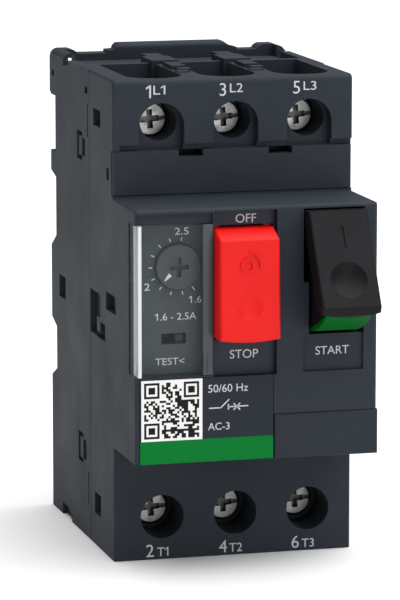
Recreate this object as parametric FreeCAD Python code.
import FreeCAD, Part
import math
import os

from FreeCAD import Vector

# Three-pole motor protection breaker with two rocker buttons, for a 35 mm mounting rail.
# +X points right and +Z up as the front is read; the front faces -Y.
# Every piece is drawn by its distance d forward of the back plane and its height z above the
# bottom face. write() then lowers it so that the origin is the rail's centre on the back plane.

# Driving dimensions, in millimetres
WIDTH = 44.5
BODY_HEIGHT = 87.3
HUMP_HEIGHT = 89.0
SPLIT_DEPTH = 32.0
BLOCK_DEPTH = 50.0
PANEL_DEPTH = 66.0
PANEL_BOTTOM = 21.0
PANEL_TOP = 66.2
RAIL_HEIGHT = 45.5
POLE_PITCH = 13.7
POLE_OFFSET = 0.4
WALL_BETWEEN_POLES = 1.7
RUNNING_GAP = 0.05

HALF_WIDTH = WIDTH / 2
POLES = [POLE_OFFSET + POLE_PITCH * step for step in (-1, 0, 1)]
POLE_HALF = (POLE_PITCH - WALL_BETWEEN_POLES) / 2

# Terminals
SCREW_RADIUS = 2.0
HEAD_RADIUS = 3.12
LINE_SCREW_HEIGHT = 79.2
LOAD_SCREW_HEIGHT = 7.8
HEAD_DEPTH = 41.4
HEAD_HEIGHT = 2.6
HOLE_RADIUS = 3.4
ARCH_RADIUS = 4.2
ARCH_HEIGHT = 78.8
ARCH_DEPTH = 47.6
WELL_HALF = 5.15
WELL_FLOOR = 74.0
LOAD_WELL_ROOF = 13.0
PLATE_DEPTH = 29.2
SHANK_TIP_DEPTH = 27.0
STRIP = 1.2

# Buttons share one pivot pin
PIVOT_DEPTH = 62.5
PIVOT_HEIGHT = 64.0
PIVOT_RADIUS = 0.6
HUB_RADIUS = 1.2
FLAG_RADIUS = 20.8
STOP_LEFT, STOP_RIGHT = -7.9, 3.0
START_LEFT, START_RIGHT = 8.55, 19.45
ROCKER_LEFT, ROCKER_RIGHT = 9.75, 18.05

# Current setting dial and its cover
DIAL_X, DIAL_Z = -13.75, 55.6
DIAL_RADIUS = 4.1
SETTING_FLOOR = 62.6
PLATE_RIGHT = -9.25
TEST_SLOT = (-16.7, -12.2, 41.8, 43.7)
COVER_LEFT, COVER_RIGHT = -22.25, -8.2
COVER_BOTTOM, COVER_TOP = 36.5, 63.5
COVER_PIN_X, COVER_PIN_DEPTH = -21.2, 64.6

# Contacts: the carrier travels CONTACT_GAP towards the back to close
CONTACT_GAP = 2.6
FIXED_TIP_FACE = 15.9
UPPER_CONTACT, LOWER_CONTACT = 62.5, 47.5
COIL_HEIGHT = 32.0


# Plain shapes, by depth and height

def block(x0, x1, d0, d1, z0, z1):
    """Box between two sides, two depths and two heights."""
    return Part.makeBox(x1 - x0, d1 - d0, z1 - z0, Vector(x0, -d1, z0))


def rod(x, z, d0, d1, radius):
    """Round bar lying front to back."""
    return Part.makeCylinder(radius, d1 - d0, Vector(x, -d1, z), Vector(0, 1, 0))


def cross_rod(d, z, x0, x1, radius):
    """Round bar lying left to right."""
    return Part.makeCylinder(radius, x1 - x0, Vector(x0, -d, z), Vector(1, 0, 0))


def post(x, d, z0, z1, radius):
    """Upright round bar."""
    return Part.makeCylinder(radius, z1 - z0, Vector(x, -d, z0))


def side_profile(points, x0, x1):
    """Outline of (depth, height) points, as thick as x0 to x1."""
    corners = [Vector(x0, -d, z) for d, z in points]
    face = Part.Face(Part.makePolygon(corners + corners[:1]))
    return face.extrude(Vector(x1 - x0, 0, 0))


def front_profile(points, d0, d1):
    """Outline of (x, height) points, as thick as d0 to d1."""
    corners = [Vector(x, -d1, z) for x, z in points]
    face = Part.Face(Part.makePolygon(corners + corners[:1]))
    return face.extrude(Vector(0, d1 - d0, 0))


def rounded_foot(x0, x1, d0, d1, corner_z, middle_z, top_z):
    """Front outline whose lower edge is an arc that sags from corner_z to middle_z."""
    left, right = Vector(x0, -d1, corner_z), Vector(x1, -d1, corner_z)
    top_left, top_right = Vector(x0, -d1, top_z), Vector(x1, -d1, top_z)
    foot = Part.Arc(left, Vector((x0 + x1) / 2, -d1, middle_z), right).toShape()
    sides = [Part.makeLine(right, top_right), Part.makeLine(top_right, top_left)]
    wire = Part.Wire([foot] + sides + [Part.makeLine(top_left, left)])
    return Part.Face(wire).extrude(Vector(0, d1 - d0, 0))


def join(shapes):
    """One solid from pieces that touch or overlap."""
    first, rest = shapes[0], shapes[1:]
    return first.multiFuse(rest).removeSplitter() if rest else first


def remove(shape, tools):
    """The shape without the tools' space."""
    return shape.cut(tools).removeSplitter()


def group(solids):
    """Separate solids that share one node."""
    return Part.makeCompound(solids)


def per_pole(maker):
    """One copy of a pole's piece in each of the three poles."""
    return [maker(x) for x in POLES]


def round_edges(shape, radius, chosen):
    """Fillet the edges that the test chooses by their middle point."""
    edges = [e for e in shape.Edges if chosen(e.CenterOfMass)]
    return shape.makeFillet(radius, edges)


def coil_spring(start, axis, length, radius, wire, turns):
    """Round-wire helical spring from a point along an axis."""
    helix = Part.makeHelix(length / turns, length, radius)
    section = Part.Wire(Part.Circle(Vector(radius, 0, 0), Vector(0, 1, 0), wire).toShape())
    spring = Part.Wire(helix).makePipeShell([section], True, True)
    turn = FreeCAD.Rotation(Vector(0, 0, 1), axis)
    spring.Placement = FreeCAD.Placement(start, turn)
    return spring


def write(name, shape):
    """Move a piece into the part's frame and write its file."""
    placed = shape.copy()
    placed.translate(Vector(0, 0, -RAIL_HEIGHT))
    placed.exportStep("parts/" + name + ".step")


# Housing

SIDE_WINDOWS = [
    # depth, height, depth, height: snap windows and accessory slots in each side wall
    (28.6, 82.7, 30.8, 84.0),
    (30.3, 74.9, 31.0, 81.0),
    (7.2, 41.7, 12.3, 46.0),
    (30.0, 6.2, 30.6, 12.6),
    (1.8, 83.2, 3.6, 84.3),
]
FRONT_WINDOWS = [
    (35.2, 77.7, 40.6, 80.8),
    (35.2, 5.9, 39.9, 9.9),
    (45.2, 69.0, 46.9, 71.2),
    (32.4, 43.0, 40.1, 47.3),
    (32.4, 39.3, 37.4, 43.0),
    (37.4, 39.2, 43.7, 40.3),
    (40.0, 40.3, 43.7, 42.3),
    (44.5, 45.4, 51.7, 48.65),
]
HOOK_WINDOWS = [(22.4, 70.1, 28.6, 75.3), (22.4, 13.3, 28.5, 18.9)]
WINDOW_DEPTH = 1.3


def side_windows(windows):
    """Shallow pockets in both side walls."""
    inset = HALF_WIDTH - WINDOW_DEPTH
    tools = []
    for d0, z0, d1, z1 in windows:
        tools.append(block(-HALF_WIDTH - 1, -inset, d0, d1, z0, z1))
        tools.append(block(inset, HALF_WIDTH + 1, d0, d1, z0, z1))
    return tools


def hook_windows():
    """C-shaped snap windows, each left with its tongue in the middle."""
    inset = HALF_WIDTH - WINDOW_DEPTH
    tools = []
    for d0, z0, d1, z1 in HOOK_WINDOWS:
        for x0, x1 in ((-HALF_WIDTH - 1, -inset), (inset, HALF_WIDTH + 1)):
            slot = block(x0, x1, d0, d1, z0, z1)
            tongue = block(x0, x1, d0 + 1.5, d1 - 2.2, z0 + 0.8, z1 - 0.8)
            step = block(x0, x1, d1 - 2.2, d1, z1 - 1.0, z1)
            foot = block(x0, x1, d1 - 2.2, d1, z0, z0 + 0.9)
            tools.append(slot.cut([tongue, step, foot]))
    return tools


def rail_channel():
    """Rail groove across the back, above and below the middle boss."""
    upper = [(0, 65.3), (4.8, 64.2), (4.8, 53.05), (0, 50.3), (-1, 50.3), (-1, 65.3)]
    lower = [(0, 37.1), (4.8, 35.5), (4.8, 27.4), (0, 25.3), (-1, 25.3), (-1, 37.1)]
    return [side_profile(p, -HALF_WIDTH - 1, HALF_WIDTH + 1) for p in (upper, lower)]


def rail_claws():
    """Two fixed claws that hook behind the rail's upper flange."""
    lip = [(0.9, 66.5), (0.9, 61.9), (2.0, 61.5), (2.7, 62.2), (2.7, 66.5)]
    return [side_profile(lip, x0, x0 + 7.0) for x0 in (-16.5, 9.5)]


def clip_pocket():
    """Pocket behind the lower pad for the sliding rail clip and its spring."""
    return block(-9.2, 9.2, -1, 3.3, 10.0, 28.0)


def wells(d0, d1, z0, z1):
    """Square wire well in each pole."""
    return [block(x - WELL_HALF, x + WELL_HALF, d0, d1, z0, z1) for x in POLES]


def well_mouths(z0, z1):
    """Half-round widening at the front edge of each wire well."""
    flats = [block(x - WELL_HALF, x + WELL_HALF, SPLIT_DEPTH - 1, 43.5, z0, z1) for x in POLES]
    return flats + [post(x, 43.5, z0, z1, WELL_HALF) for x in POLES]


def vent_pockets():
    """Arc vent pockets behind the cross rib, top and bottom."""
    tools = []
    for x in POLES:
        for z0, z1 in ((83.0, 90.0), (-1.0, 4.5)):
            tools.append(block(x - WELL_HALF, x + WELL_HALF, 12.0, 21.5, z0, z1))
        for z0, z1 in ((71.0, 84.0), (3.0, 24.0)):
            tools.append(block(x - 4.0, x + 4.0, 13.5, 15.5, z0, z1))
            tools.append(block(x - 4.0, x + 4.0, 17.5, 19.5, z0, z1))
    return tools


def partition_slots():
    """Gaps in the walls between poles for the contact carrier and the trip slides."""
    return [
        block(-19.0, 20.0, 27.5, 35.2, 52.5, 57.5),
        block(-19.0, 20.0, 33.6, 44.2, 46.9, 51.2),
    ]


def hump():
    """Low bump on the back of the top face, rounded at its ends and along its front edge."""
    left_end = [(-11.9, 80), (-11.9, 87.8), (-10.4, 87.9), (-10.2, 88.5), (-9.6, HUMP_HEIGHT)]
    right_end = [(10.7, HUMP_HEIGHT), (12.3, 87.9), (13.4, 87.8), (13.4, 80)]
    bump = front_profile(left_end + right_end, 0.4, 4.2)
    return round_edges(bump, 0.9, lambda m: m.y < -4.1 and m.z > HUMP_HEIGHT - 0.1)


def corner_lugs():
    """Two lugs at the back corners of the top face, each with a slot through it."""
    left = block(-HALF_WIDTH, -17.6, 0, 11.0, 80, 88.2)
    right = block(17.2, HALF_WIDTH, 0, 6.8, 80, 88.2)
    lugs = [round_edges(lug, 1.6, lambda m: m.z > 88 and -6 < m.y < -0.1) for lug in (left, right)]
    return lugs


def top_relief():
    """Sunken floor of the top face behind the cross rib, and the notches beside the lugs."""
    return [
        block(-20.4, 20.5, 4.2, 12.0, 86.0, 90),
        block(-20.4, 20.5, 12.0, 20.4, 84.9, 90),
        block(-20.4, 20.5, 20.4, 22.0, 86.7, 90),
        block(-21.2, -18.0, -1, 12.0, 85.2, 87.3),
        block(-HALF_WIDTH - 1, -17.0, 11.0, 15.4, 86.0, 90),
        block(17.0, HALF_WIDTH + 1, 6.8, 9.4, 86.2, 90),
    ]


def divider_heads(d0, d1):
    """Stepped heads of the walls between the wire wells, as far as d0 to d1."""
    steps = [
        # left and right of the wall's middle, depth, depth, height
        (-1.0, 2.2, 12.0, 18.0, 87.9),
        (-2.4, 2.6, 18.0, 26.0, 88.0),
        (-0.4, 2.2, 26.0, 28.8, 87.6),
        (-1.1, 1.5, 28.8, 35.4, 88.0),
        (-0.5, 1.8, 35.4, 38.0, 87.7),
        (-1.3, 1.0, 38.0, 40.6, 87.5),
    ]
    heads = []
    for middle in (POLES[0] + POLE_PITCH / 2, POLES[1] + POLE_PITCH / 2):
        for left, right, near, far, top in steps:
            if near < d1 and far > d0:
                ends = (max(near, d0), min(far, d1))
                heads.append(block(middle + left, middle + right, ends[0], ends[1], 84, top))
    return heads


def plate_slots():
    """Slots that the terminal strips pass through between the wells and the pole chambers."""
    front = PLATE_DEPTH + STRIP + 0.1
    tools = []
    for x in POLES:
        for z0, z1 in ((12, 23), (71, 75)):
            tools.append(block(x - 4.3, x + 4.3, PLATE_DEPTH - 0.1, front, z0, z1))
    return tools


def rear_base():
    body = block(-HALF_WIDTH, HALF_WIDTH, 0, SPLIT_DEPTH, 0, BODY_HEIGHT)
    body = round_edges(body, 0.8, lambda m: m.y > -0.1 and abs(m.x) > 22)
    body = join([body] + corner_lugs())
    foot_notches = [
        block(-23, -21.2, -1, 4.6, 68.9, 79.6),
        block(21.2, 23, -1, 4.6, 68.9, 79.6),
        block(-23, -21.4, 9.1, 15.7, -1, 2.2),
        block(21.4, 23, 9.1, 15.7, -1, 2.2),
        block(-22.5, -16.5, 15.7, 16.6, -1, 0.5),
        block(16.5, 22.5, 15.7, 16.6, -1, 0.5),
    ]
    body = remove(body, foot_notches + top_relief() + rail_channel() + [clip_pocket()])
    chambers = [block(x - POLE_HALF, x + POLE_HALF, 7.5, SPLIT_DEPTH + 1, 22, 72) for x in POLES]
    body = remove(body, chambers)
    body = remove(body, wells(24, 33, WELL_FLOOR, 90) + wells(24, 33, -1, LOAD_WELL_ROOF))
    body = remove(body, vent_pockets() + plate_slots())
    body = remove(body, side_windows(SIDE_WINDOWS) + hook_windows())
    body = remove(body, partition_slots())
    return join([body, hump()] + divider_heads(12.0, SPLIT_DEPTH) + rail_claws())


def front_shell():
    """Outer form of the front housing: terminal blocks and raised panel in one."""
    blocks = block(-HALF_WIDTH, HALF_WIDTH, SPLIT_DEPTH, BLOCK_DEPTH, 0, BODY_HEIGHT)
    front = -BLOCK_DEPTH
    blocks = round_edges(blocks, 1.1, lambda m: abs(m.y - front) < 0.1 and m.z > BODY_HEIGHT - 0.1)
    blocks = round_edges(blocks, 0.5, lambda m: abs(m.y - front) < 0.6 and abs(m.x) > 22 and m.z < 86)
    panel = block(-HALF_WIDTH, 22.1, BLOCK_DEPTH - 2, PANEL_DEPTH, PANEL_BOTTOM, PANEL_TOP)
    face = -PANEL_DEPTH
    panel = round_edges(panel, 0.7, lambda m: abs(m.y - face) < 0.1 and (m.z > 66 or abs(m.x) > 22))
    panel = round_edges(panel, 0.5, lambda m: abs(m.x) > 21.8 and m.z > PANEL_TOP - 0.1)
    return join([blocks, panel])


# Left and right of the two finger notches above the auxiliary contact blank
NOTCHES = [(-10.1, -5.6), (6.6, 11.0)]
SEAM = 0.2


def terminal_openings():
    """Screwdriver arches above, round screwdriver holes below, and the wire wells behind."""
    tools = wells(31, 39.4, WELL_FLOOR, 90) + well_mouths(84.0, 90)
    tools += wells(31, 39.4, -1, LOAD_WELL_ROOF) + well_mouths(-1, 3.3)
    for x in POLES:
        tools.append(rod(x, ARCH_HEIGHT, ARCH_DEPTH, 51, ARCH_RADIUS))
        tools.append(block(x - ARCH_RADIUS, x + ARCH_RADIUS, ARCH_DEPTH, 51, 74.6, ARCH_HEIGHT))
        tools.append(rod(x, LINE_SCREW_HEIGHT + 0.2, 38, 51, HOLE_RADIUS))
        tools.append(rod(x, LOAD_SCREW_HEIGHT, 41.0, 51, 4.0))
        tools.append(rod(x, LOAD_SCREW_HEIGHT, 38, 42, HEAD_RADIUS + 0.18))
    edges = [-21.0] + [x + s for x in POLES for s in (-ARCH_RADIUS, ARCH_RADIUS)] + [HALF_WIDTH + 1]
    for x0, x1 in zip(edges[::2], edges[1::2]):
        tools.append(block(x0, x1, 48.9, 51, 74.6, 75.6))
    for x0, x1 in NOTCHES:
        tools.append(block(x0, x1, 44.6, 51, 73.2, 74.5))
    for x0, x1 in ((-HALF_WIDTH - 1, -HALF_WIDTH + 0.6), (HALF_WIDTH - 0.6, HALF_WIDTH + 1)):
        tools.append(block(x0, x1, SPLIT_DEPTH - 1, SPLIT_DEPTH + SEAM, -1, 90))
    return tools


def test_slot(d0):
    """Slot that the test lever's tip moves along, from depth d0 forward."""
    left, right, foot, head = TEST_SLOT
    return block(left, right, d0, 64, foot, head)


def panel_recesses():
    """Everything cut into the raised panel's face."""
    left = -HALF_WIDTH - 1
    return [
        # transparent cover: rebate, hinge gutter, pocket for the printed plate, finger space
        block(left, COVER_RIGHT, 64.75, 67, COVER_BOTTOM, COVER_TOP),
        block(left, -20.55, 61.3, 67, COVER_BOTTOM, COVER_TOP),
        block(-21.0, PLATE_RIGHT + 0.05, 62.2, 67, COVER_BOTTOM, COVER_TOP),
        block(-21.9, COVER_RIGHT, 65.3, 67, COVER_TOP, 65.4),
        cover_pin(COVER_BOTTOM - 1.0, COVER_TOP + 1.0, 0.55),
        # dial and test slot
        rod(DIAL_X, DIAL_Z, 60.4, 63, DIAL_RADIUS + 0.1),
        test_slot(55),
        # stop well
        block(-8.0, 3.55, 63.9, 67, 36.1, 65.6),
        block(-8.0, 3.3, 55, 67, 42.5, 65.5),
        # start well and its label field
        block(8.4, 19.6, 55, 67, 52.3, 65.5),
        block(9.4, 19.6, 55, 67, 42.9, 65.5),
        block(8.4, 19.5, 65.4, 67, 36.3, 42.9),
        # rating plate and marker holder
        block(-21.6, 3.0, 65.6, 67, PANEL_BOTTOM - 1, 36.2),
        block(3.0, 23.0, 64.6, 67, PANEL_BOTTOM - 1, 29.0),
        block(4.9, 20.1, 64.0, 65, PANEL_BOTTOM - 1, 22.1),
    ]


def cover_pin(z0, z1, radius):
    return post(COVER_PIN_X, COVER_PIN_DEPTH, z0, z1, radius)


def front_housing():
    body = remove(front_shell(), terminal_openings())
    body = join([body] + divider_heads(SPLIT_DEPTH, 41.0))
    poles = [block(x - POLE_HALF, x + POLE_HALF, 31, 42.2, 22, 71) for x in POLES]
    bay = block(-20.2, 20.2, 42.2, 60.0, 23, 64.6)
    lower_bay = block(-20.2, 20.2, 59.0, 64.0, 23, 35.0)
    blank_seat = [
        block(-20.6, 20.6, 44.6, 51, 67.6, 73.6),
        block(-HALF_WIDTH - 1, HALF_WIDTH + 1, 48.8, 51, 66.5, 74.6),
    ]
    body = remove(body, poles + [bay, lower_bay] + blank_seat)
    body = remove(body, panel_recesses() + partition_slots())
    body = remove(body, side_windows(FRONT_WINDOWS))
    pin_bore = cross_rod(PIVOT_DEPTH, PIVOT_HEIGHT, -9.5, 21.1, PIVOT_RADIUS + RUNNING_GAP)
    shaft_bush = rod(DIAL_X, DIAL_Z, 57.0, 60.4, 5.0)
    return remove(join([body, shaft_bush]), [pin_bore, rod(DIAL_X, DIAL_Z, 56, 61, 1.5 + RUNNING_GAP)])


def aux_contact_blank():
    plate = block(-22.1, 22.0, 48.85, 49.85, 66.65, 74.5)
    box = block(-20.4, 20.4, 44.8, 48.85, 67.8, 73.4).cut(block(-19.4, 19.4, 44, 47.9, 68.6, 72.6))
    slots = [block(x0, x1, 44, 51, 73.3, 75.0) for x0, x1 in NOTCHES]
    return remove(join([plate, box]), slots)


def marker_holder():
    plate = block(3.1, HALF_WIDTH, 64.7, 66.2, 20.9, 28.9)
    plate = round_edges(plate, 0.3, lambda m: abs(m.y + 66.2) < 0.1)
    foot = block(5.0, 20.0, 64.1, 64.9, 20.9, 22.0)
    return join([plate, foot])


def rating_plate():
    return block(-21.5, 2.9, 65.65, 66.0, PANEL_BOTTOM + 0.05, 36.1)


def setting_plate():
    plate = block(-20.3, PLATE_RIGHT, 62.25, SETTING_FLOOR, COVER_BOTTOM + 0.05, COVER_TOP - 0.05)
    return remove(plate, [rod(DIAL_X, DIAL_Z, 61, 64, DIAL_RADIUS + 0.1), test_slot(61)])


def stop_bezel():
    frame = block(-7.95, 3.5, 63.95, 64.5, 36.15, 65.55)
    return remove(frame, [block(-8.0, 3.2, 63, 66, 42.5, 62.9)])


# Cover, dial and test lever

def transparent_cover():
    front = block(COVER_LEFT, COVER_RIGHT - 0.05, 64.9, PANEL_DEPTH, COVER_BOTTOM + 0.1, COVER_TOP - 0.1)
    side = block(COVER_LEFT, COVER_LEFT + 1.1, 62.7, PANEL_DEPTH, COVER_BOTTOM + 0.1, COVER_TOP - 0.1)
    shell = join([front, side])
    shell = round_edges(shell, 0.7, lambda m: m.x < -22.2 and abs(m.y + PANEL_DEPTH) < 0.1)
    ears = []
    for z0, z1 in ((COVER_BOTTOM + 0.1, COVER_BOTTOM + 2.6), (COVER_TOP - 2.6, COVER_TOP - 0.1)):
        ears.append(cover_pin(z0, z1, 1.05))
    pins = cover_pin(COVER_BOTTOM - 0.7, COVER_TOP + 0.7, 0.5)
    middle = cover_pin(COVER_BOTTOM + 1.5, COVER_TOP - 1.5, 0.6)
    ribs = [block(x, x + 0.3, 65.9, 66.25, 36.9, 40.4) for x in (-11.9, -11.0, -10.1, -9.2)]
    return join([shell] + ears + [pins.cut(middle)] + ribs)


def cross_recess(x, z, depth, length, width, sink):
    """Cutter for a cross-head with a screwdriver slot, seen from the front."""
    arms = [block(x - length, x + length, depth - sink, depth + 1, z - width, z + width)]
    arms.append(block(x - width, x + width, depth - sink, depth + 1, z - length, z + length))
    return arms


def setting_dial():
    disc = rod(DIAL_X, DIAL_Z, 60.6, 63.7, DIAL_RADIUS)
    shaft = rod(DIAL_X, DIAL_Z, 50.0, 60.6, 1.5)
    return remove(join([disc, shaft]), cross_recess(DIAL_X, DIAL_Z, 63.7, 1.7, 0.4, 0.9))


def setting_cam():
    """Eccentric on the dial's shaft that shifts the trip point."""
    return rod(DIAL_X, DIAL_Z + 0.8, 51.5, 54.5, 3.0).cut(rod(DIAL_X, DIAL_Z, 51, 55, 1.5))


def test_lever():
    tip = block(-14.0, -12.6, 58.0, 61.9, 42.15, 43.35)
    arm = block(-16.6, -12.6, 46.0, 58.0, 42.15, 43.35)
    finger = block(-16.6, -15.2, 46.0, 47.4, 43.35, 51.0)
    return join([tip, arm, finger])


# Buttons

def hub(x0, x1):
    return cross_rod(PIVOT_DEPTH, PIVOT_HEIGHT, x0, x1, HUB_RADIUS)


def hub_bore():
    return cross_rod(PIVOT_DEPTH, PIVOT_HEIGHT, -12, 24, PIVOT_RADIUS + RUNNING_GAP)


def stop_button():
    crown = [(61.4, 63.4), (63.5, 63.4), (63.7, 62.5), (66.0, 62.4), (69.7, 60.9)]
    outline = crown + [(70.4, 42.0), (61.4, 42.0)]
    body = side_profile(outline, STOP_LEFT, STOP_RIGHT)
    body = body.common(rounded_foot(STOP_LEFT, STOP_RIGHT, 55, 75, 43.2, 42.75, 70))
    body = round_edges(body, 0.45, lambda m: m.y < -66.2)
    ends = [(STOP_LEFT, -6.5), (1.6, STOP_RIGHT)]
    body = join([body] + [hub(x0, x1) for x0, x1 in ends])
    hollow = side_profile([(59, 44.8), (68.6, 44.8), (68.1, 60.0), (66.0, 61.0), (59, 61.2)], -6.5, 1.6)
    spring_space = block(-6.5, 1.6, 59, 64.8, 62.5, 67)
    body = remove(body, [hollow, spring_space, hub_bore()])
    ring = rod(-3.0, 56.4, 69.5, 70.2, 1.25).cut(rod(-3.0, 56.4, 69, 71, 0.9))
    arc = rod(-3.0, 56.4, 69.5, 70.2, 2.6).cut(rod(-3.0, 56.4, 69, 71, 2.25))
    arc = arc.common(block(-2.6, 1.0, 69, 71, 55.9, 60.0))
    dimple = Part.makeSphere(6.0, Vector(-2.6, -75.6, 49.4))
    return remove(join([body, ring, arc]), [dimple])


START_TOP = (68.2, 65.2)
START_LIP = (77.2, 49.3)
CHEEK_OUTLINE = [(62.5, 65.2), (66.2, 65.2), (74.6, 47.6), (62.5, 40), (60.0, 44), (61.3, 64)]


def start_button():
    outline = [START_TOP, START_LIP, (76.7, 47.9), (75.0, 46.6), (73.4, 48.6), (66.9, 60.2), (65.7, 65.2)]
    cap = side_profile(outline, START_LEFT, START_RIGHT)
    cap = cap.common(rounded_foot(START_LEFT, START_RIGHT, 60, 80, 48.3, 47.5, 70))
    cap = round_edges(cap, 0.5, lambda m: m.y < -72.6 and m.z > 48.6)
    cheeks = []
    for x0, x1 in ((ROCKER_LEFT, 10.75), (17.05, ROCKER_RIGHT)):
        wedge = side_profile(CHEEK_OUTLINE, x0, x1)
        rim = cross_rod(PIVOT_DEPTH, PIVOT_HEIGHT, x0, x1, FLAG_RADIUS - 0.8)
        tail = side_profile([(61.7, 63.2), (62.9, 62.0), (54.0, 52.5), (52.6, 53.7)], x0, x1)
        cheeks += [wedge.common(rim), tail, hub(x0, x1)]
    tail_bar = cross_rod(53.4, 53.4, ROCKER_LEFT, ROCKER_RIGHT, 0.9)
    body = join([cap, tail_bar] + cheeks)
    slope = (START_LIP[0] - START_TOP[0]) / (START_TOP[1] - START_LIP[1])
    tilt = math.degrees(math.atan(slope))
    dimple_z = 53.9
    dimple_d = START_TOP[0] + (START_TOP[1] - dimple_z) * slope
    out = Vector(0, -math.cos(math.radians(tilt)), math.sin(math.radians(tilt)))
    dimple = Part.makeSphere(6.2, Vector(14.15, -dimple_d, dimple_z) + out * 5.2)
    stroke = Part.makeBox(0.4, 0.5, 3.9, Vector(-0.2, -0.25, -1.95))
    flag = Part.makeBox(0.35, 0.5, 1.2, Vector(-0.15, -0.25, -1.2))
    flag.rotate(Vector(0, 0, 0), Vector(0, 1, 0), 42)
    flag.translate(Vector(0, 0, 1.95))
    mark = stroke.fuse(flag)
    mark.rotate(Vector(0, 0, 0), Vector(1, 0, 0), -tilt)
    mark_z = 60.9
    mark.translate(Vector(14.3, -(START_TOP[0] + (START_TOP[1] - mark_z) * slope), mark_z))
    return remove(body, [hub_bore(), dimple, mark, start_flag()])


def start_flag():
    """Green curved skirt, centred on the pivot, that shows under the cap while it is out."""
    shell = cross_rod(PIVOT_DEPTH, PIVOT_HEIGHT, ROCKER_LEFT, ROCKER_RIGHT, FLAG_RADIUS)
    core = cross_rod(PIVOT_DEPTH, PIVOT_HEIGHT, 0, 30, FLAG_RADIUS - 0.8)
    window = side_profile([(PIVOT_DEPTH, PIVOT_HEIGHT), (59.0, 38), (70, 38), (77.4, 45.6)], 0, 30)
    return shell.cut(core).common(window)


def button_pivot_pin():
    return cross_rod(PIVOT_DEPTH, PIVOT_HEIGHT, -9.4, 21.0, PIVOT_RADIUS)


def pivot_spring(x0, x1, turns):
    start = Vector(x0, -PIVOT_DEPTH, PIVOT_HEIGHT)
    return coil_spring(start, Vector(1, 0, 0), x1 - x0, 1.05, 0.18, turns)


# Switch mechanism

LEVER_PIN_DEPTH, LEVER_PIN_HEIGHT = 48.5, 31.0
LATCH_X, LATCH_DEPTH = 5.0, 52.0


def mechanism_frame():
    """Folded steel bracket that carries the drive lever's pin."""
    cheek = [(44.5, 26), (52, 26), (52, 48), (49, 50.5), (44.5, 50.5)]
    sides = [side_profile(cheek, x0, x0 + 0.8) for x0 in (9.6, 17.6)]
    floor = block(9.6, 18.4, 44.5, 52, 25.2, 26.0)
    frame = join(sides + [floor])
    return remove(frame, [cross_rod(LEVER_PIN_DEPTH, LEVER_PIN_HEIGHT, 9, 19, 1.0)])


def lever_pin():
    return cross_rod(LEVER_PIN_DEPTH, LEVER_PIN_HEIGHT, 9.3, 18.7, 1.0)


def drive_lever():
    """Rocks back on its pin and pushes the contact carrier's stem."""
    blade = [(47.5, 31), (47.5, 53.2), (46.0, 53.6), (46.0, 56.6), (49.2, 56.6), (49.6, 52), (49.6, 31)]
    boss = cross_rod(LEVER_PIN_DEPTH, LEVER_PIN_HEIGHT, 10.6, 17.4, 2.2)
    body = join([side_profile(blade, 11.0, 17.0), boss])
    window = block(12.6, 15.4, 46, 51, 36, 49)
    return remove(body, [window, cross_rod(LEVER_PIN_DEPTH, LEVER_PIN_HEIGHT, 10, 18, 1.0 + RUNNING_GAP)])


def latch_pin():
    return post(LATCH_X, LATCH_DEPTH, 46.0, 55.0, 0.8)


def trip_latch():
    arm = block(4.4, 5.6, 45.3, 52.0, 49.2, 50.8)
    hook = block(5.0, 8.8, 51.4, 52.6, 49.2, 50.8)
    boss = post(LATCH_X, LATCH_DEPTH, 48.6, 51.4, 2.0)
    return remove(join([arm, hook, boss]), [post(LATCH_X, LATCH_DEPTH, 45, 56, 0.8 + RUNNING_GAP)])


def latch_bracket():
    """Steel bracket that holds the latch pin top and bottom."""
    arms = [block(2.8, 8.0, 49.5, 54.0, z0, z0 + 0.8) for z0 in (47.2, 52.6)]
    back = block(1.8, 2.8, 49.5, 54.0, 47.2, 53.4)
    return remove(join(arms + [back]), [post(LATCH_X, LATCH_DEPTH, 45, 56, 0.8)])


def trip_slide(z0, with_tab):
    """Comb that runs across the poles, with a tooth beside each bimetal tip."""
    bar = block(-17.8, 17.8, 34.0, 41.0, z0, z0 + 1.2)
    windows = [block(x - 0.7, x + 2.3, 34.9, 40.1, z0 - 1, z0 + 2) for x in POLES]
    bar = remove(bar, windows)
    return join([bar, block(5.8, 7.0, 41.0, 46.4, z0, z0 + 1.2)]) if with_tab else bar


def compensation_bimetal():
    """Strip beside the dial's cam that offsets the air temperature."""
    return join([block(-19.8, -8.4, 52.4, 53.6, 48.9, 49.7), block(-9.4, -8.4, 44.0, 53.6, 48.9, 49.7)])


# Current path and contacts

def line_strip(x):
    plate = block(x - 4.2, x + 4.2, PLATE_DEPTH, PLATE_DEPTH + STRIP, 67.8, 84.5)
    run = block(x - 2.6, x + 2.6, 14.0, PLATE_DEPTH + STRIP, 67.8, 67.8 + STRIP)
    drop = block(x - 2.6, x + 2.6, 14.0, 14.0 + STRIP, 60.4, 68.5)
    hole = rod(x, LINE_SCREW_HEIGHT, 28, 32, SCREW_RADIUS)
    return remove(join([plate, run, drop]), [hole])


def load_contact_strip(x):
    return join([
        block(x - 2.6, x + 2.6, 14.0, 14.0 + STRIP, 39.2, 49.6),
        block(x - 2.6, x + 2.6, 14.0, 18.0, 38.0, 39.2),
    ])


def load_terminal_strip(x):
    front = PLATE_DEPTH + STRIP
    plate = block(x - 4.2, x + 4.2, PLATE_DEPTH, front, 1.6, 19.4)
    foot = block(x - 1.6, x + 1.6, PLATE_DEPTH, 40.4, 22.2, 23.4)
    riser = block(x - 1.6, x + 1.6, PLATE_DEPTH, front, 19.0, 22.6)
    hole = rod(x, LOAD_SCREW_HEIGHT, 28, 32, SCREW_RADIUS)
    return remove(join([plate, riser, foot]), [hole])


def contact_tips(face, back):
    """Silver tips at both breaks of every pole."""
    tips = []
    for x in POLES:
        for z in (UPPER_CONTACT, LOWER_CONTACT):
            tips.append(rod(x, z, face, back, 1.6))
    return group(tips)


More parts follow.
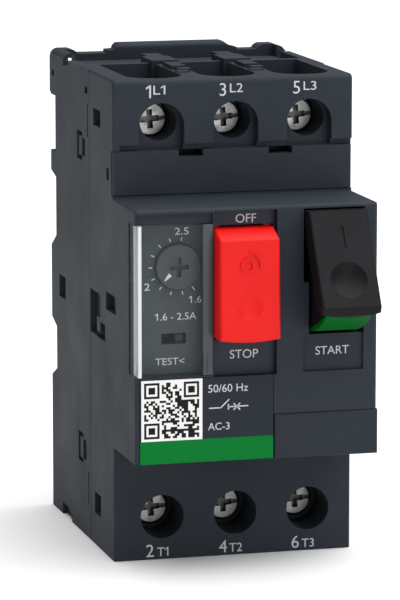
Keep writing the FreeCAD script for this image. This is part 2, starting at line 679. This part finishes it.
def moving_bridge(x):
    front = FIXED_TIP_FACE + CONTACT_GAP + 0.7
    return block(x - 2.4, x + 2.4, front, front + STRIP, LOWER_CONTACT - 2, UPPER_CONTACT + 2)


def contact_spring(x):
    return coil_spring(Vector(x, -24.6, 55.0), Vector(0, 1, 0), 3.8, 1.7, 0.28, 4)


def contact_carrier():
    """Plastic yoke that moves all three bridges together."""
    pieces = [block(-17.5, 18.0, 32.2, 34.6, 53.2, 56.8)]
    for x in POLES:
        pieces.append(block(x - 4.4, x + 4.4, 24.9, 26.2, 52.6, 57.4))
        for x0, x1 in ((x - 4.4, x - 3.2), (x + 3.2, x + 4.4)):
            pieces.append(block(x0, x1, 18.6, 33.0, 53.2, 56.8))
        pieces.append(block(x - 1.5, x + 1.5, 32.2, 33.7, 30.0, 54.0))
        nose = block(x - 2.2, x + 2.2, 18.0, 18.9, 53.2, 56.8)
        pieces.append(nose.cut(block(x - 1, x + 1, 17, 20, 54, 56)))
        pieces.append(block(x - 4.4, x + 4.4, 18.0, 18.9, 53.6, 56.4))
    pieces.append(block(11.0, 14.0, 34.6, 45.4, 53.7, 56.3))
    return join(pieces)


def arc_splitter_plates():
    plates = []
    for x in POLES:
        for step in range(6):
            z = 50.4 + 1.7 * step
            outline = block(x - 5.4, x + 5.4, 8.0, 13.6, z, z + 0.7)
            plates.append(outline.cut(block(x - 1.2, x + 1.2, 11.2, 14, z - 1, z + 2)))
    return group(plates)


def magnet_yoke(x):
    rear = block(x - 5.4, x + 5.4, 10.6, 11.8, 25.4, 37.6)
    leg = block(x - 5.4, x + 5.4, 10.6, 27.2, 25.4, 26.4)
    front = block(x - 5.4, x + 5.4, 26.0, 27.2, 25.4, 37.6)
    return remove(join([rear, leg, front]), [rod(x, COIL_HEIGHT, 25, 28, 1.1)])


def coil_bobbin(x):
    tube = rod(x, COIL_HEIGHT, 12.0, 25.8, 3.1)
    flanges = [rod(x, COIL_HEIGHT, d, d + 0.8, 5.2) for d in (12.0, 25.0)]
    return remove(join([tube] + flanges), [rod(x, COIL_HEIGHT, 11, 27, 2.45)])


def magnet_coil(x):
    """Wound coil: turns side by side round the bobbin."""
    turns = 8
    pitch = 12.0 / turns
    profile = [Vector(x, -12.9, COIL_HEIGHT + 3.15)]
    for turn in range(turns):
        start = 12.95 + pitch * turn
        profile.append(Vector(x, -start, COIL_HEIGHT + 4.3))
        profile.append(Vector(x, -(start + pitch * 0.35), COIL_HEIGHT + 4.9))
        profile.append(Vector(x, -(start + pitch * 0.65), COIL_HEIGHT + 4.9))
    profile.append(Vector(x, -24.9, COIL_HEIGHT + 4.3))
    profile.append(Vector(x, -24.9, COIL_HEIGHT + 3.15))
    face = Part.Face(Part.makePolygon(profile + profile[:1]))
    return face.revolve(Vector(x, 0, COIL_HEIGHT), Vector(0, 1, 0), 360)


def magnet_core(x):
    return rod(x, COIL_HEIGHT, 21.25, 25.9, 2.4).cut(rod(x, COIL_HEIGHT, 20, 27, 1.0))


def plunger(x):
    head = rod(x, COIL_HEIGHT, 12.4, 18.75, 2.35)
    return join([head, rod(x, COIL_HEIGHT, 18.75, 27.9, 0.7)])


def plunger_spring(x):
    return coil_spring(Vector(x, -21.0, COIL_HEIGHT), Vector(0, 1, 0), 2.0, 1.45, 0.2, 2)


def bimetal(x):
    return block(x - 0.5, x + 0.5, 35.2, 39.8, 23.4, 52.0)


def heater_sleeve(x):
    outer = block(x - 1.2, x + 1.2, 34.6, 40.4, 25.5, 44.0)
    return outer.cut(block(x - 0.6, x + 0.6, 35.1, 39.9, 25, 45))


def heater_turns(x):
    rings = []
    for step in range(7):
        z = 26.2 + 2.4 * step
        turn = block(x - 2.2, x + 2.2, 33.8, 41.2, z, z + 1.5)
        rings.append(turn.cut(block(x - 1.25, x + 1.25, 34.5, 40.5, z - 1, z + 3)))
    return rings


def heater_link(x):
    return block(x + 2.3, x + 3.3, 27.3, 41.0, 27.0, 29.0)


# Terminal screws and clamps

def terminal_screw(x, z):
    """Cheese-head screw, its head slotted and cross-cut."""
    head = rod(x, z, HEAD_DEPTH - HEAD_HEIGHT, HEAD_DEPTH, HEAD_RADIUS)
    head = round_edges(head, 0.35, lambda m: abs(m.y + HEAD_DEPTH) < 0.1)
    shank = rod(x, z, SHANK_TIP_DEPTH, HEAD_DEPTH - HEAD_HEIGHT, SCREW_RADIUS)
    reach = HEAD_RADIUS + 1
    slot = block(x - reach, x + reach, HEAD_DEPTH - 0.9, HEAD_DEPTH + 1, z - 0.38, z + 0.38)
    tools = [slot] + cross_recess(x, z, HEAD_DEPTH, 1.75, 0.55, 1.7)
    screw = remove(join([head, shank]), tools)
    screw.rotate(Vector(x, 0, z), Vector(0, 1, 0), -4)
    return screw


def saddle(x, z):
    """Square pressure plate under a screw's head."""
    front = HEAD_DEPTH - HEAD_HEIGHT - 0.1
    plate = block(x - 4.3, x + 4.3, front - 1.4, front, z - 3.9, z + 4.2)
    lips = [block(x0, x0 + 1.0, front - 2.6, front, z - 3.9, z + 4.2) for x0 in (x - 4.3, x + 3.3)]
    return remove(join([plate] + lips), [rod(x, z, 20, 50, SCREW_RADIUS + 0.15)])


# Rail clip

def din_clip():
    """Sliding clip that hooks behind the rail's lower flange."""
    hook = [(0.7, 15.0), (0.7, 29.2), (1.6, 29.6), (2.6, 28.9), (2.6, 15.0)]
    plate = side_profile(hook, -8.8, 8.8)
    grip = block(-3.0, 3.0, 0.3, 0.7, 16.6, 18.8)
    seat = block(-2.4, 2.4, 0.6, 2.7, 14.0, 16.5)
    return remove(join([plate, grip]), [seat])


def din_clip_spring():
    return coil_spring(Vector(0, -1.65, 10.4), Vector(0, 0, 1), 5.4, 0.8, 0.22, 6)


# Every piece, by the name it is kept under

def all_parts():
    moving_face = FIXED_TIP_FACE + CONTACT_GAP
    screw_heights = {"line": LINE_SCREW_HEIGHT, "load": LOAD_SCREW_HEIGHT}
    parts = {
        "rear_base": rear_base(),
        "front_housing": front_housing(),
        "aux_contact_blank": aux_contact_blank(),
        "marker_holder": marker_holder(),
        "rating_plate": rating_plate(),
        "setting_plate": setting_plate(),
        "stop_bezel": stop_bezel(),
        "transparent_cover": transparent_cover(),
        "setting_dial": setting_dial(),
        "setting_cam": setting_cam(),
        "test_lever": test_lever(),
        "stop_button": stop_button(),
        "start_button": start_button(),
        "start_flag": start_flag(),
        "button_pivot_pin": button_pivot_pin(),
        "stop_spring": pivot_spring(-5.8, 0.9, 9),
        "start_spring": pivot_spring(11.2, 16.6, 8),
        "mechanism_frame": mechanism_frame(),
        "lever_pin": lever_pin(),
        "drive_lever": drive_lever(),
        "latch_pin": latch_pin(),
        "latch_bracket": latch_bracket(),
        "trip_latch": trip_latch(),
        "trip_slide": trip_slide(49.4, True),
        "phase_loss_slide": trip_slide(47.4, False),
        "compensation_bimetal": compensation_bimetal(),
        "line_strips": group(per_pole(line_strip)),
        "load_contact_strips": group(per_pole(load_contact_strip)),
        "load_terminal_strips": group(per_pole(load_terminal_strip)),
        "fixed_contact_tips": contact_tips(15.2, FIXED_TIP_FACE),
        "moving_contact_tips": contact_tips(moving_face, moving_face + 0.7),
        "moving_bridges": group(per_pole(moving_bridge)),
        "contact_springs": group(per_pole(contact_spring)),
        "contact_carrier": contact_carrier(),
        "arc_splitter_plates": arc_splitter_plates(),
        "magnet_yokes": group(per_pole(magnet_yoke)),
        "coil_bobbins": group(per_pole(coil_bobbin)),
        "magnet_coils": group(per_pole(magnet_coil)),
        "magnet_cores": group(per_pole(magnet_core)),
        "bimetals": group(per_pole(bimetal)),
        "heater_sleeves": group(per_pole(heater_sleeve)),
        "heater_windings": group([ring for x in POLES for ring in heater_turns(x)]),
        "heater_links": group(per_pole(heater_link)),
        "din_clip": din_clip(),
        "din_clip_spring": din_clip_spring(),
    }
    for side, height in screw_heights.items():
        parts[side + "_terminal_screws"] = group([terminal_screw(x, height) for x in POLES])
        parts[side + "_terminal_saddles"] = group([saddle(x, height) for x in POLES])
    for number, x in enumerate(POLES, start=1):
        parts["plunger_" + str(number)] = plunger(x)
        parts["plunger_spring_" + str(number)] = plunger_spring(x)
    return parts


os.makedirs("parts", exist_ok=True)
for name, shape in all_parts().items():
    write(name, shape)
